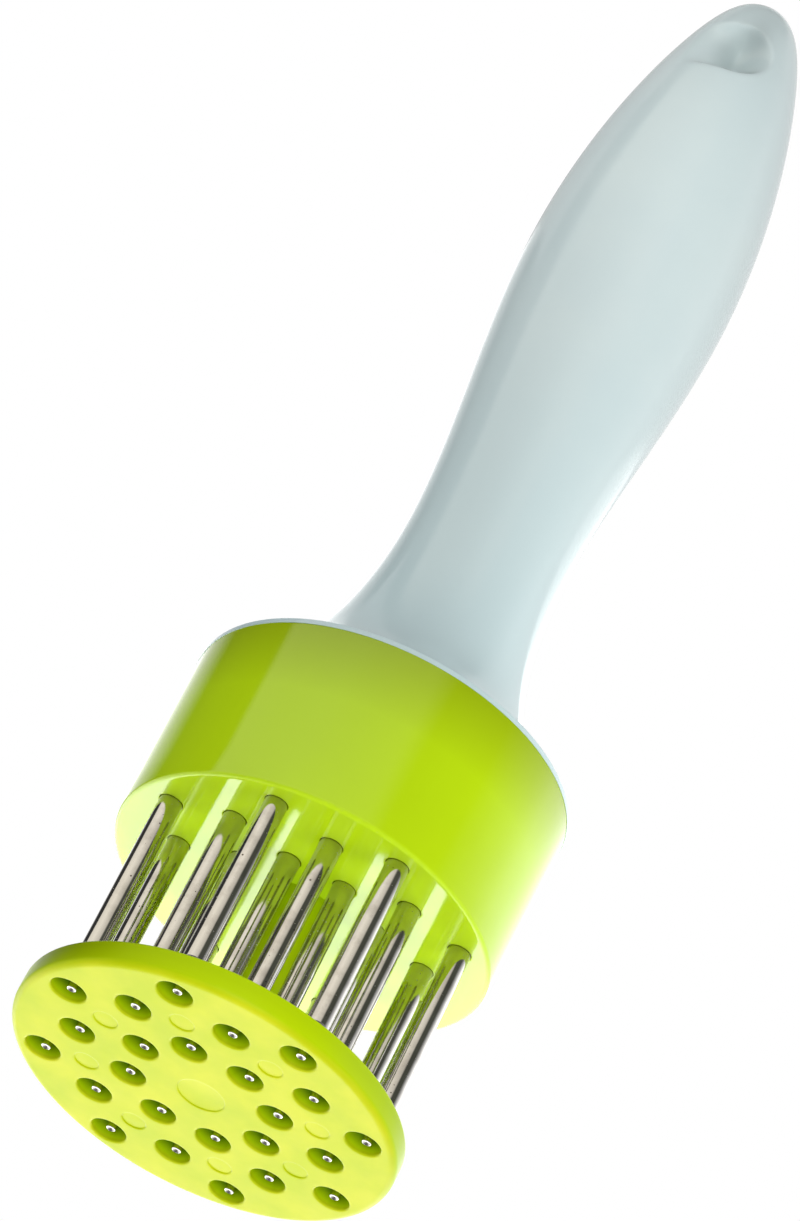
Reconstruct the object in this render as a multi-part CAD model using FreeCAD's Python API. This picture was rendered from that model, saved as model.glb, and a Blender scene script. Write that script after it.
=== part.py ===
import FreeCAD, Part
import math
import os

V = FreeCAD.Vector

# Needle meat tenderizer. Millimetres and degrees, +Z up the handle.
# The origin is the centre of the guard plate's underside, on which the tool stands.
# The thumb dimple faces -Y.

# ---- Guard plate and its column ----
PLATE_R = 29.0               # outer radius, which the drum and the outer needles follow
PLATE_T = 4.0                # thickness
PLATE_UNDER_ROUND = 1.1      # rounding of the lower rim
PLATE_TOP_ROUND = 0.5        # rounding of the upper rim
PLATE_HOLE_TOP_R = 2.25      # needle hole at the upper face
PLATE_HOLE_UNDER_R = 2.70    # needle hole at the underside, wider by its draft
PLATE_LIP_ROUND = 0.35       # softened mouth of each hole
COLUMN_R = 5.3               # central column
COLUMN_ROOT_ROUND = 1.5      # fillet where the column meets the plate
GATE_DISH_R = 3.5            # moulding gate dish in the middle of the underside
GATE_DISH_DEPTH = 0.45
EJECTOR_MARK_R = 1.75        # round ejector marks on the underside
EJECTOR_MARK_DEPTH = 0.15
EJECTOR_RING_SHIFT = 0.2     # marks inside the middle between two needles

# ---- Needle pattern: three rings of equal count ----
RING_COUNT = 8
INNER_RING_STAND_OFF = 3.2   # needle centres outside the guide bush
OUTER_RING_INSET = 4.6       # needle centres inside the plate's rim
RING_STEP = 5.2              # from the outer ring in to the middle ring
INNER_PHASE = 0.0
MIDDLE_PHASE = 22.5
OUTER_PHASE = 0.0

# ---- Needles ----
NEEDLE_R = 1.8               # shank
NEEDLE_HEAD_R = 2.4
NEEDLE_HEAD_T = 1.4
NEEDLE_PIN_R = 1.12          # slim pin where it leaves the shoulder
NEEDLE_TIP_R = 0.76          # slim pin at its flat end
NEEDLE_TIP_ROUND = 0.18
NEEDLE_TIP_RECESS = 0.4      # how far the tips stay inside the resting guard
NEEDLE_PIN_LENGTH = 4.2
NEEDLE_SHOULDER_LENGTH = 1.1
NEEDLE_CLEARANCE = 0.05      # shank in the drum's floor, on the radius

# ---- Drum ----
GUARD_GAP = 29.5             # from the guard plate's top to the drum's lower face, at rest
DRUM_INSET = 0.2             # lower rim inside the plate's rim
DRUM_DRAFT = 0.25            # upper rim wider than the lower one
DRUM_HEIGHT = 27.5
DRUM_WALL = 1.8
DRUM_FLOOR_T = 3.0
DRUM_LOW_ROUND = 0.6
BUSH_R = 8.0                 # guide bush that the column slides in
BUSH_HEIGHT = 7.9            # above the drum's floor
COLUMN_CLEARANCE = 0.08      # running fit of the column in its bush, on the radius

# ---- Clamp disc over the needle heads ----
CLAMP_DISC_T = 3.5
CLAMP_RIM_CLEARANCE = 0.3
CLAMP_BUSH_CLEARANCE = 0.15

# ---- Handle ----
FLANGE_LIP = 0.1             # how far the flange stands proud of the drum
FLANGE_T = 0.9
FLANGE_ROUND = 0.3
HANDLE_LENGTH = 152.2        # from the drum's top to the tip
NECK_R = 12.3
NECK_HEIGHT = 39.0           # above the drum's top
BELLY_R = 16.3
BELLY_HEIGHT = 94.5
FLARE_HOLLOW = 1.3           # control point that draws the bell foot in, outside the neck
FLARE_HOLLOW_HEIGHT = 5.2
FLARE_EASE = 8.6             # length over which the foot eases into the neck
NECK_EASE = 17.6             # length over which the neck opens out
BELLY_LOW_EASE = 19.7
BELLY_TOP_EASE = 32.5
TIP_SHOULDER_R = 7.2         # control points of the rounded tip
TIP_SHOULDER_DROP = 7.1
TIP_CROWN_R = 7.6
DIMPLE_DROP = 15.7           # dimple centre below the tip
DIMPLE_R = 7.0               # radius of its mouth
DIMPLE_DEPTH = 3.2
DIMPLE_TILT = 16.0           # the dimple looks up by this angle
DIMPLE_ROUND = 0.8

# ---- Handle foot inside the drum ----
SKIRT_CLEARANCE = 0.1        # skirt in the drum, on the radius
SKIRT_WALL = 2.0
SNAP_BEAD_R = 0.7            # half round bead that snaps into the drum's groove
SNAP_BEAD_SINK = 0.2         # bead centre inside the skirt's face
SNAP_CLEARANCE = 0.1
SNAP_DROP = 9.0              # bead below the drum's top
SPRING_TUBE_WALL = 1.8
SPRING_TUBE_GAP = 2.0        # from the bush's top to the tube's end
RIB_COUNT = 8
RIB_T = 1.6
RIB_DROP = 12.0              # ribs below the drum's top
CORE_LOW_R = 5.0             # tapered core that hollows the grip
CORE_TOP_R = 3.8
CORE_LENGTH = 88.0           # above the spring's seat

# ---- Guard stop and return spring ----
GUARD_TRAVEL = 24.0
STOP_CLEARANCE = 0.1         # washer above the bush at rest
WASHER_R = 7.8
WASHER_T = 1.4
WASHER_CLEARANCE = 0.4       # washer in the spring tube, on the radius
SCREW_R = 1.9
SCREW_LENGTH = 12.0
SCREW_HEAD_R = 3.7
SCREW_HEAD_T = 2.4
SCREW_HEAD_ROUND = 0.8
SCREW_SLOT_T = 0.9           # arms of the cross recess
SCREW_SLOT_LENGTH = 4.2
SCREW_SLOT_DEPTH = 1.3
SCREW_HOLE_CLEARANCE = 0.05  # in the column
SCREW_HOLE_SPARE = 3.0       # depth of the hole past the screw's end
WASHER_HOLE_CLEARANCE = 0.2
SPRING_WIRE_R = 0.5
SPRING_COIL_R = 6.6          # to the middle of the wire
SPRING_SOLID_SPARE = 2.5     # room left above solid height at full travel
SPRING_ACTIVE_TURNS = 9
SPRING_END_TURNS = 1         # closed turns at each end
SPRING_END_GAP = 0.05
SPRING_NEST_CLEARANCE = 0.4
SPRING_POINTS_PER_TURN = 12

# ---- Radii and heights that follow from the sizes above ----
DRUM_LOW_R = PLATE_R - DRUM_INSET
DRUM_TOP_R = DRUM_LOW_R + DRUM_DRAFT
INNER_RING_R = BUSH_R + INNER_RING_STAND_OFF
OUTER_RING_R = PLATE_R - OUTER_RING_INSET
MIDDLE_RING_R = OUTER_RING_R - RING_STEP
EJECTOR_RING_R = (INNER_RING_R + OUTER_RING_R) / 2 - EJECTOR_RING_SHIFT
DRUM_LOW_Z = PLATE_T + GUARD_GAP
DRUM_FLOOR_Z = DRUM_LOW_Z + DRUM_FLOOR_T
DRUM_TOP_Z = DRUM_LOW_Z + DRUM_HEIGHT
DRUM_BORE_R = DRUM_LOW_R - DRUM_WALL
CLAMP_LOW_Z = DRUM_FLOOR_Z + NEEDLE_HEAD_T
CLAMP_TOP_Z = CLAMP_LOW_Z + CLAMP_DISC_T
BUSH_TOP_Z = DRUM_FLOOR_Z + BUSH_HEIGHT
COLUMN_TOP_Z = BUSH_TOP_Z + STOP_CLEARANCE
WASHER_TOP_Z = COLUMN_TOP_Z + WASHER_T
SPRING_TURNS = SPRING_ACTIVE_TURNS + 2 * SPRING_END_TURNS
SPRING_SOLID_HEIGHT = (SPRING_TURNS + 1) * 2 * SPRING_WIRE_R
SPRING_SEAT_Z = WASHER_TOP_Z + GUARD_TRAVEL + SPRING_SOLID_HEIGHT + SPRING_SOLID_SPARE
SPRING_POCKET_R = WASHER_R + WASHER_CLEARANCE
SPRING_NEST_R = SPRING_COIL_R + SPRING_WIRE_R + SPRING_NEST_CLEARANCE
SPRING_NEST_Z = WASHER_TOP_Z + GUARD_TRAVEL + SPRING_WIRE_R
TIP_Z = DRUM_TOP_Z + HANDLE_LENGTH
SKIRT_R = DRUM_BORE_R - SKIRT_CLEARANCE
SNAP_Z = DRUM_TOP_Z - SNAP_DROP

OVERCUT = 1.0                # how far cutting tools run past the faces they open


def cylinder(radius, low, high, x=0.0, y=0.0):
    return Part.makeCylinder(radius, high - low, V(x, y, low))


def cone(low_radius, high_radius, low, high, x=0.0, y=0.0):
    return Part.makeCone(low_radius, high_radius, high - low, V(x, y, low))


def line(start, end):
    """Straight edge between two (radius, height) points."""
    return Part.LineSegment(V(start[0], 0, start[1]), V(end[0], 0, end[1])).toShape()


def bezier(poles):
    """Bezier curve on (radius, height) control points."""
    curve = Part.BezierCurve()
    curve.setPoles([V(radius, 0, height) for radius, height in poles])
    return curve


def turned(edges):
    """Solid of revolution about Z from the edges of a closed half outline."""
    wire = Part.Wire(Part.__sortEdges__(edges))
    return Part.Face(wire).revolve(V(0, 0, 0), V(0, 0, 1), 360)


def ring_places(radius, phase):
    """Centres of one ring of the needle pattern."""
    places = []
    for index in range(RING_COUNT):
        angle = math.radians(phase + index * 360.0 / RING_COUNT)
        places.append((radius * math.cos(angle), radius * math.sin(angle)))
    return places


def needle_rings():
    """Name and centres of each ring, from the middle outwards."""
    return [
        ("inner", ring_places(INNER_RING_R, INNER_PHASE)),
        ("middle", ring_places(MIDDLE_RING_R, MIDDLE_PHASE)),
        ("outer", ring_places(OUTER_RING_R, OUTER_PHASE)),
    ]


def all_needle_places():
    return [place for _, places in needle_rings() for place in places]


def circle_edges_at(shape, height, radius):
    """Round edges of the given radius that lie at the given height."""
    found = []
    for edge in shape.Edges:
        round_edge = isinstance(edge.Curve, Part.Circle)
        if round_edge and abs(edge.Curve.Radius - radius) < 0.001:
            if abs(edge.Curve.Center.z - height) < 0.001:
                found.append(edge)
    return found


def make_needle(x, y):
    """Headed needle: shank, shoulder, slim tapered pin with a flat tip."""
    tip_z = NEEDLE_TIP_RECESS
    shoulder_z = tip_z + NEEDLE_PIN_LENGTH
    shank_z = shoulder_z + NEEDLE_SHOULDER_LENGTH
    outline = [
        (0, tip_z),
        (NEEDLE_TIP_R - NEEDLE_TIP_ROUND, tip_z),
        (NEEDLE_TIP_R, tip_z + NEEDLE_TIP_ROUND),
        (NEEDLE_PIN_R, shoulder_z),
        (NEEDLE_R, shank_z),
        (NEEDLE_R, DRUM_FLOOR_Z),
        (NEEDLE_HEAD_R, DRUM_FLOOR_Z),
        (NEEDLE_HEAD_R, DRUM_FLOOR_Z + NEEDLE_HEAD_T),
        (0, DRUM_FLOOR_Z + NEEDLE_HEAD_T),
    ]
    edges = [line(a, b) for a, b in zip(outline, outline[1:] + outline[:1])]
    needle = turned(edges)
    needle.translate(V(x, y, 0))
    return needle


def make_plate_hole(x, y):
    """Tapered needle hole with a softened mouth at the underside."""
    slope = (PLATE_HOLE_UNDER_R - PLATE_HOLE_TOP_R) / PLATE_T
    low_r = PLATE_HOLE_UNDER_R + slope * OVERCUT
    high_r = PLATE_HOLE_TOP_R - slope * OVERCUT
    bore = cone(low_r, high_r, -OVERCUT, PLATE_T + OVERCUT, x, y)
    mouth_r = PLATE_HOLE_UNDER_R + PLATE_LIP_ROUND
    mouth = cone(mouth_r + OVERCUT, mouth_r - PLATE_LIP_ROUND, -OVERCUT, PLATE_LIP_ROUND, x, y)
    return bore.fuse(mouth)


def make_gate_dish():
    """Ball that leaves the shallow dish in the middle of the underside."""
    ball_r = (GATE_DISH_R ** 2 + GATE_DISH_DEPTH ** 2) / (2 * GATE_DISH_DEPTH)
    return Part.makeSphere(ball_r, V(0, 0, GATE_DISH_DEPTH - ball_r))


def make_guard_plate():
    """Guard disc with its needle holes, moulding marks and central column."""
    disc = cylinder(PLATE_R, 0, PLATE_T)
    disc = disc.makeFillet(PLATE_UNDER_ROUND, circle_edges_at(disc, 0, PLATE_R))
    disc = disc.makeFillet(PLATE_TOP_ROUND, circle_edges_at(disc, PLATE_T, PLATE_R))
    column = cylinder(COLUMN_R, 0, COLUMN_TOP_Z)
    guard = disc.fuse(column).removeSplitter()
    guard = guard.makeFillet(COLUMN_ROOT_ROUND, circle_edges_at(guard, PLATE_T, COLUMN_R))
    cuts = [make_plate_hole(x, y) for x, y in all_needle_places()]
    for x, y in ring_places(EJECTOR_RING_R, OUTER_PHASE):
        cuts.append(cylinder(EJECTOR_MARK_R, -OVERCUT, EJECTOR_MARK_DEPTH, x, y))
    cuts.append(make_gate_dish())
    screw_hole_z = COLUMN_TOP_Z - (SCREW_LENGTH - WASHER_T) - SCREW_HOLE_SPARE
    cuts.append(cylinder(SCREW_R + SCREW_HOLE_CLEARANCE, screw_hole_z, COLUMN_TOP_Z + OVERCUT))
    return guard.cut(cuts)


def make_snap_ring(bead_radius):
    """Ring of round section that makes the handle's bead and the drum's groove."""
    return Part.makeTorus(SKIRT_R - SNAP_BEAD_SINK, bead_radius, V(0, 0, SNAP_Z))


def make_drum():
    """Cup with a drafted wall, needle holes in its floor and the column's guide bush."""
    body = cone(DRUM_LOW_R, DRUM_TOP_R, DRUM_LOW_Z, DRUM_TOP_Z)
    body = body.makeFillet(DRUM_LOW_ROUND, circle_edges_at(body, DRUM_LOW_Z, DRUM_LOW_R))
    hollow = cylinder(DRUM_BORE_R, DRUM_FLOOR_Z, DRUM_TOP_Z + OVERCUT)
    bush = cylinder(BUSH_R, DRUM_FLOOR_Z - OVERCUT, BUSH_TOP_Z)
    drum = body.cut(hollow).fuse(bush).removeSplitter()
    cuts = [cylinder(COLUMN_R + COLUMN_CLEARANCE, DRUM_LOW_Z - OVERCUT, BUSH_TOP_Z + OVERCUT)]
    for x, y in all_needle_places():
        hole_r = NEEDLE_R + NEEDLE_CLEARANCE
        cuts.append(cylinder(hole_r, DRUM_LOW_Z - OVERCUT, DRUM_FLOOR_Z + OVERCUT, x, y))
    cuts.append(make_snap_ring(SNAP_BEAD_R + SNAP_CLEARANCE))
    return drum.cut(cuts)


def make_clamp_disc():
    """Flat disc that lies on the needle heads, round the guide bush."""
    disc = cylinder(DRUM_BORE_R - CLAMP_RIM_CLEARANCE, CLAMP_LOW_Z, CLAMP_TOP_Z)
    hole = cylinder(BUSH_R + CLAMP_BUSH_CLEARANCE, CLAMP_LOW_Z - OVERCUT, CLAMP_TOP_Z + OVERCUT)
    return disc.cut(hole)


def handle_curves():
    """Bell foot, grip and rounded tip as three curves that meet smoothly."""
    neck_z = DRUM_TOP_Z + NECK_HEIGHT
    belly_z = DRUM_TOP_Z + BELLY_HEIGHT
    foot = (DRUM_TOP_R + FLANGE_LIP - FLANGE_ROUND, DRUM_TOP_Z + FLANGE_T)
    flare = bezier([
        foot,
        (NECK_R + FLARE_HOLLOW, DRUM_TOP_Z + FLARE_HOLLOW_HEIGHT),
        (NECK_R, neck_z - FLARE_EASE),
        (NECK_R, neck_z),
    ])
    grip = bezier([
        (NECK_R, neck_z),
        (NECK_R, neck_z + NECK_EASE),
        (BELLY_R, belly_z - BELLY_LOW_EASE),
        (BELLY_R, belly_z),
    ])
    tip = bezier([
        (BELLY_R, belly_z),
        (BELLY_R, belly_z + BELLY_TOP_EASE),
        (TIP_SHOULDER_R, TIP_Z - TIP_SHOULDER_DROP),
        (TIP_CROWN_R, TIP_Z),
        (0, TIP_Z),
    ])
    return flare, grip, tip


def make_handle_outside():
    """Flange, bell foot, grip and tip turned as one solid."""
    flange_r = DRUM_TOP_R + FLANGE_LIP
    flange_top_z = DRUM_TOP_Z + FLANGE_T
    round_low = (flange_r, flange_top_z - FLANGE_ROUND)
    round_high = (flange_r - FLANGE_ROUND, flange_top_z)
    bulge = FLANGE_ROUND * (1 - math.sqrt(0.5))
    round_mid = (flange_r - bulge, flange_top_z - bulge)
    lip = Part.Arc(*[V(radius, 0, height) for radius, height in (round_low, round_mid, round_high)])
    edges = [
        line((0, DRUM_TOP_Z), (flange_r, DRUM_TOP_Z)),
        line((flange_r, DRUM_TOP_Z), round_low),
        lip.toShape(),
        line((0, TIP_Z), (0, DRUM_TOP_Z)),
    ]
    edges += [curve.toShape() for curve in handle_curves()]
    return turned(edges)


def radius_on_tip(height):
    """Radius of the rounded tip's outside at a height."""
    tip = handle_curves()[2]
    low, high = tip.FirstParameter, tip.LastParameter
    while high - low > 1e-9:
        middle = (low + high) / 2
        if tip.value(middle).z < height:
            low = middle
        else:
            high = middle
    return tip.value(low).x


def make_dimple():
    """Ball that scoops the thumb dimple."""
    ball_r = (DIMPLE_R ** 2 + DIMPLE_DEPTH ** 2) / (2 * DIMPLE_DEPTH)
    stand_off = ball_r - DIMPLE_DEPTH
    tilt = math.radians(DIMPLE_TILT)
    mouth_z = TIP_Z - DIMPLE_DROP
    out = radius_on_tip(mouth_z) + stand_off * math.cos(tilt)
    return Part.makeSphere(ball_r, V(0, -out, mouth_z + stand_off * math.sin(tilt)))


def round_dimple_edge(handle):
    """Softens the edge where the dimple leaves the grip."""
    mouth_z = TIP_Z - DIMPLE_DROP
    edges = []
    for edge in handle.Edges:
        box = edge.BoundBox
        level = box.ZMin > mouth_z - 2 * DIMPLE_R and box.ZMax < mouth_z + 2 * DIMPLE_R
        if level and box.YMax < 0 and box.XLength > DIMPLE_R:
            edges.append(edge)
    return handle.makeFillet(DIMPLE_ROUND, edges)


def make_handle_foot():
    """Skirt, spring tube and ribs that go down into the drum."""
    skirt = cylinder(SKIRT_R, CLAMP_TOP_Z, DRUM_TOP_Z)
    skirt = skirt.fuse(make_snap_ring(SNAP_BEAD_R))
    inner_r = SKIRT_R - SKIRT_WALL
    skirt = skirt.cut(cylinder(inner_r, CLAMP_TOP_Z - OVERCUT, DRUM_TOP_Z + OVERCUT))
    tube_r = SPRING_POCKET_R + SPRING_TUBE_WALL
    tube = cylinder(tube_r, BUSH_TOP_Z + SPRING_TUBE_GAP, DRUM_TOP_Z)
    ribs = []
    for index in range(RIB_COUNT):
        length = inner_r + SKIRT_WALL / 2 - SPRING_POCKET_R - SPRING_TUBE_WALL / 2
        start = V(SPRING_POCKET_R + SPRING_TUBE_WALL / 2, -RIB_T / 2, DRUM_TOP_Z - RIB_DROP)
        rib = Part.makeBox(length, RIB_T, RIB_DROP, start)
        rib.rotate(V(0, 0, 0), V(0, 0, 1), index * 360.0 / RIB_COUNT)
        ribs.append(rib)
    return skirt.fuse([tube] + ribs)


def make_handle():
    """Grip with its foot, spring pocket, core and thumb dimple."""
    outside = make_handle_outside().cut(make_dimple())
    outside = round_dimple_edge(outside)
    handle = outside.fuse(make_handle_foot()).removeSplitter()
    pocket = cylinder(SPRING_POCKET_R, BUSH_TOP_Z, SPRING_NEST_Z)
    nest = cylinder(SPRING_NEST_R, SPRING_NEST_Z - OVERCUT, SPRING_SEAT_Z)
    core = cone(CORE_LOW_R, CORE_TOP_R, SPRING_SEAT_Z - OVERCUT, SPRING_SEAT_Z + CORE_LENGTH)
    core_end = Part.makeSphere(CORE_TOP_R, V(0, 0, SPRING_SEAT_Z + CORE_LENGTH))
    return handle.cut(pocket.fuse([nest, core, core_end]))


def make_stop_washer():
    washer = cylinder(WASHER_R, COLUMN_TOP_Z, WASHER_TOP_Z)
    hole_r = SCREW_R + WASHER_HOLE_CLEARANCE
    return washer.cut(cylinder(hole_r, COLUMN_TOP_Z - OVERCUT, WASHER_TOP_Z + OVERCUT))


def make_stop_screw():
    """Pan head screw with a cross recess, through the washer into the column."""
    head_top_z = WASHER_TOP_Z + SCREW_HEAD_T
    head = cylinder(SCREW_HEAD_R, WASHER_TOP_Z, head_top_z)
    head = head.makeFillet(SCREW_HEAD_ROUND, circle_edges_at(head, head_top_z, SCREW_HEAD_R))
    shank = cylinder(SCREW_R, WASHER_TOP_Z - SCREW_LENGTH, WASHER_TOP_Z)
    screw = head.fuse(shank)
    for length, width in ((SCREW_SLOT_LENGTH, SCREW_SLOT_T), (SCREW_SLOT_T, SCREW_SLOT_LENGTH)):
        corner = V(-length / 2, -width / 2, head_top_z - SCREW_SLOT_DEPTH)
        screw = screw.cut(Part.makeBox(length, width, SCREW_SLOT_DEPTH + OVERCUT, corner))
    return screw


def spring_height(turn, low, high):
    """Height of the wire's middle after so many turns: closed ends, open middle."""
    closed_pitch = 2 * SPRING_WIRE_R
    closed = SPRING_END_TURNS * closed_pitch
    if turn <= SPRING_END_TURNS:
        return low + turn * closed_pitch
    if turn >= SPRING_TURNS - SPRING_END_TURNS:
        return high - (SPRING_TURNS - turn) * closed_pitch
    share = (turn - SPRING_END_TURNS) / SPRING_ACTIVE_TURNS
    open_height = high - low - 2 * closed
    return low + closed + share * open_height


def make_return_spring():
    """Compression spring between the stop washer and its seat in the handle."""
    low = WASHER_TOP_Z + SPRING_END_GAP + SPRING_WIRE_R
    high = SPRING_SEAT_Z - SPRING_END_GAP - SPRING_WIRE_R
    points = []
    for step in range(SPRING_TURNS * SPRING_POINTS_PER_TURN + 1):
        turn = step / SPRING_POINTS_PER_TURN
        angle = 2 * math.pi * turn
        height = spring_height(turn, low, high)
        points.append(V(SPRING_COIL_R * math.cos(angle), SPRING_COIL_R * math.sin(angle), height))
    path = Part.BSplineCurve()
    path.interpolate(points)
    section = Part.Wire(Part.Circle(points[0], V(0, 1, 0), SPRING_WIRE_R).toShape())
    return Part.Wire(path.toShape()).makePipeShell([section], True, True)


def build_pieces():
    """Every piece of the tool by the name of its node."""
    pieces = {
        "handle": make_handle(),
        "drum": make_drum(),
        "needle_clamp_disc": make_clamp_disc(),
        "guard_plate": make_guard_plate(),
        "stop_washer": make_stop_washer(),
        "stop_screw": make_stop_screw(),
        "return_spring": make_return_spring(),
    }
    for ring, places in needle_rings():
        for number, (x, y) in enumerate(places, start=1):
            pieces["needle_%s_%d" % (ring, number)] = make_needle(x, y)
    return pieces


def main():
    os.makedirs("parts", exist_ok=True)
    for name, shape in build_pieces().items():
        solids = shape.Solids
        print(name, "solids", len(solids), "valid", shape.isValid(), "volume", round(shape.Volume, 1))
        solids[0].exportStep(os.path.join("parts", name + ".step"))


main()
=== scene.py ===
import math

import bmesh
import bpy
import numpy as np
from mathutils import Matrix, Vector


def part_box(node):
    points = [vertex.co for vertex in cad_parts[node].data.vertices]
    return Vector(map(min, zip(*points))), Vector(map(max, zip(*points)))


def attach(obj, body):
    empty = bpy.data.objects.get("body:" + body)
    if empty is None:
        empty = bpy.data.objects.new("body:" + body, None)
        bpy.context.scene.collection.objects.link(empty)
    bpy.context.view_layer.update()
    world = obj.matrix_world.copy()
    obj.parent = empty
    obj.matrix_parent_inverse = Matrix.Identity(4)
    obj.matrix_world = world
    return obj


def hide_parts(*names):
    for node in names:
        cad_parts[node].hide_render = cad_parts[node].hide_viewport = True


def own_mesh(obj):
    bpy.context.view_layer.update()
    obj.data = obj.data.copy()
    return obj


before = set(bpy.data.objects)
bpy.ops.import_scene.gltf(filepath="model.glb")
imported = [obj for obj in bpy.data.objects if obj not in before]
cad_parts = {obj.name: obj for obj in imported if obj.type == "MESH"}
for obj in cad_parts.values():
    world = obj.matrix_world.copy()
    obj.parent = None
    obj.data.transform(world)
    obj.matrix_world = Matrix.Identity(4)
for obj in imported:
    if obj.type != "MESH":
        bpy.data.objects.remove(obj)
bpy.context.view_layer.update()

# A needle meat tenderizer: pale moulded handle, lime drum with 24 steel needles, and the sliding
# guard plate that covers their tips. Shapes are worked out in millimetres and turned to metres
# when a mesh is finished. Profiles are lists of (radius, height) points, turned about Z.

MM = 0.001


# ---------------------------------------------------------------------------
# Sizes that come from the frame
# ---------------------------------------------------------------------------

def box_mm(node):
    """Lowest and highest corner of a CAD node, in millimetres."""
    low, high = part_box(node)
    return low / MM, high / MM


def ring_radius(node):
    """Distance of a needle's axis from the tool's axis."""
    low, high = box_mm(node)
    return math.hypot((low.x + high.x) / 2, (low.y + high.y) / 2)


plate_high = box_mm("guard_plate")[1]
drum_low, drum_high = box_mm("drum")
handle_low, handle_high = box_mm("handle")
needle_low, needle_high = box_mm("needle_outer_1")

PLATE_R = plate_high.x
COLUMN_TOP = plate_high.z
DRUM_LOW = drum_low.z
DRUM_TOP = drum_high.z
DRUM_TOP_R = drum_high.x
FLANGE_R = handle_high.x
TIP = handle_high.z
FOOT_LOW = handle_low.z
NEEDLE_TIP = needle_low.z
NEEDLE_HEAD_TOP = needle_high.z
NEEDLE_HEAD_R = (needle_high.x - needle_low.x) / 2
INNER_RING = ring_radius("needle_inner_1")
MIDDLE_RING = ring_radius("needle_middle_1")
OUTER_RING = ring_radius("needle_outer_1")
SPRING_TOP = box_mm("return_spring")[1].z

# ---------------------------------------------------------------------------
# Sizes of the visible forms, in millimetres
# ---------------------------------------------------------------------------

RING_COUNT = 8
MIDDLE_TURN = math.radians(22.5)

# Guard plate
PLATE_T = 4.0
PLATE_UNDER_ROUND = 1.1
PLATE_TOP_ROUND = 0.5
HOLE_UNDER_R = 2.70
HOLE_TOP_R = 2.25
HOLE_UNDER_LIP = 0.35
HOLE_TOP_LIP = 0.15
MARK_RING = 17.6
MARK_R = 1.75
MARK_DEPTH = 0.2             # at its edge
MARK_HALF_WAY_DEPTH = 0.18
MARK_MIDDLE_DEPTH = 0.16
MARK_ROUND = 0.28
DISH_R = 3.5
DISH_DEPTH = 0.24
DISH_ROUND = 0.24
DISH_EDGE = 0.18
SHALLOW_ROUND_END = 200      # degrees at which the rounding round a mark or the dish ends
COLUMN_R = 5.3
COLUMN_ROOT_ROUND = 1.5
SCREW_HOLE_R = 1.95
SCREW_HOLE_DEPTH = 13.6
FLAT_MARGIN = 0.2            # flat ring round every lip, which keeps the flats' shading straight

# Drum
DRUM_LOW_R = 28.8
DRUM_LOW_ROUND = 0.6
DRUM_WALL = 1.8
DRUM_FLOOR_T = 3.0
DRUM_HOLE_R = 1.80
DRUM_HOLE_LIP = 0.08
BUSH_R = 8.0
BUSH_HEIGHT = 7.9
BUSH_BORE_R = 5.38
BUSH_LIP = 0.2

# Needles
NEEDLE_R = 1.73
NEEDLE_HEAD_T = 1.4
PIN_R = 1.12
TIP_R = 0.72
TIP_ROUND = 0.16
TIP_CUP_R = 0.56             # round cup pressed into the tip
TIP_CUP_DEPTH = 0.42
PIN_LENGTH = 4.2
SHOULDER_LENGTH = 1.1
SHOULDER_EASE = 0.25
LEAST_LEAN = (-0.004, -0.014, 0.0)     # radians about X and Y, within the play of the guard's holes
MOST_LEAN = (0.008, -0.002, 0.0)
LEAN_SEED = 0

# Handle
FLANGE_T = 0.9
FLANGE_ROUND = 0.3
NECK_R = 12.3
NECK_HEIGHT = 39.0
BELLY_R = 16.3
BELLY_HEIGHT = 94.5
FLARE_HOLLOW = 1.3
FLARE_HOLLOW_HEIGHT = 5.2
FLARE_EASE = 8.6
NECK_EASE = 17.6
BELLY_LOW_EASE = 19.7
BELLY_TOP_EASE = 32.5
TIP_SHOULDER_R = 7.2
TIP_SHOULDER_DROP = 7.1
TIP_CROWN_R = 7.6
SKIRT_CLEARANCE = 0.1
SKIRT_WALL = 2.0
SNAP_DROP = 9.0
SNAP_BEAD_R = 0.7
SNAP_BEAD_SINK = 0.2
SNAP_CLEARANCE = 0.1
POCKET_R = 8.2
POCKET_GAP = 2.0
TUBE_WALL = 1.8
NEST_R = 7.5
NEST_HEIGHT = 14.0           # length of the narrower spring seat
CORE_LOW_R = 5.0
CORE_TOP_R = 3.8
CORE_LENGTH = 88.0
SPRING_END_GAP = 0.05

# Thumb dimple
DIMPLE_DROP = 16.1
DIMPLE_R = 6.0               # half its height
DIMPLE_END_R = 6.0           # from the middle of its round end to the edge, sideways
DIMPLE_TURN = 12.0           # degrees from -Y to the middle of its round end
DIMPLE_DEPTH = 4.9
DIMPLE_RUN = 8.0             # length over which it runs out sideways
DIMPLE_LEAN = 0.12           # how much it drops on the way
DIMPLE_EASE = 0.10           # how soft its edge is
DIMPLE_SQUARENESS = 2.3      # 2 for a ball's bottom, more for a flatter one with steeper sides
DIMPLE_REACH = 1.6           # the press stops here, in half heights from the middle

# Fineness
ROUND_STEPS = 256            # facets round the large turned forms
HOLE_STEPS = 48              # facets round a needle, its holes and the column
FLARE_STEPS = 56             # along the bell foot
GRIP_STEPS = 40              # along the neck, up to the belly
TIP_STEPS = 130              # from the belly over the tip, fine enough for the dimple
ON_AXIS = 1e-6               # a profile point closer to the axis than this lies on it
MERGE_DISTANCE = 0.002
SHARP_ANGLE = 38.0           # degrees between faces from which an edge is shaded sharp


# ---------------------------------------------------------------------------
# Profiles and turned forms
# ---------------------------------------------------------------------------

def arc(centre, radius, start, end, steps):
    """Round stretch of a profile; 0 degrees points away from the axis and 90 up."""
    angles = np.radians(np.linspace(start, end, steps + 1))
    return [(centre[0] + radius * math.cos(a), centre[1] + radius * math.sin(a)) for a in angles]


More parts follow.
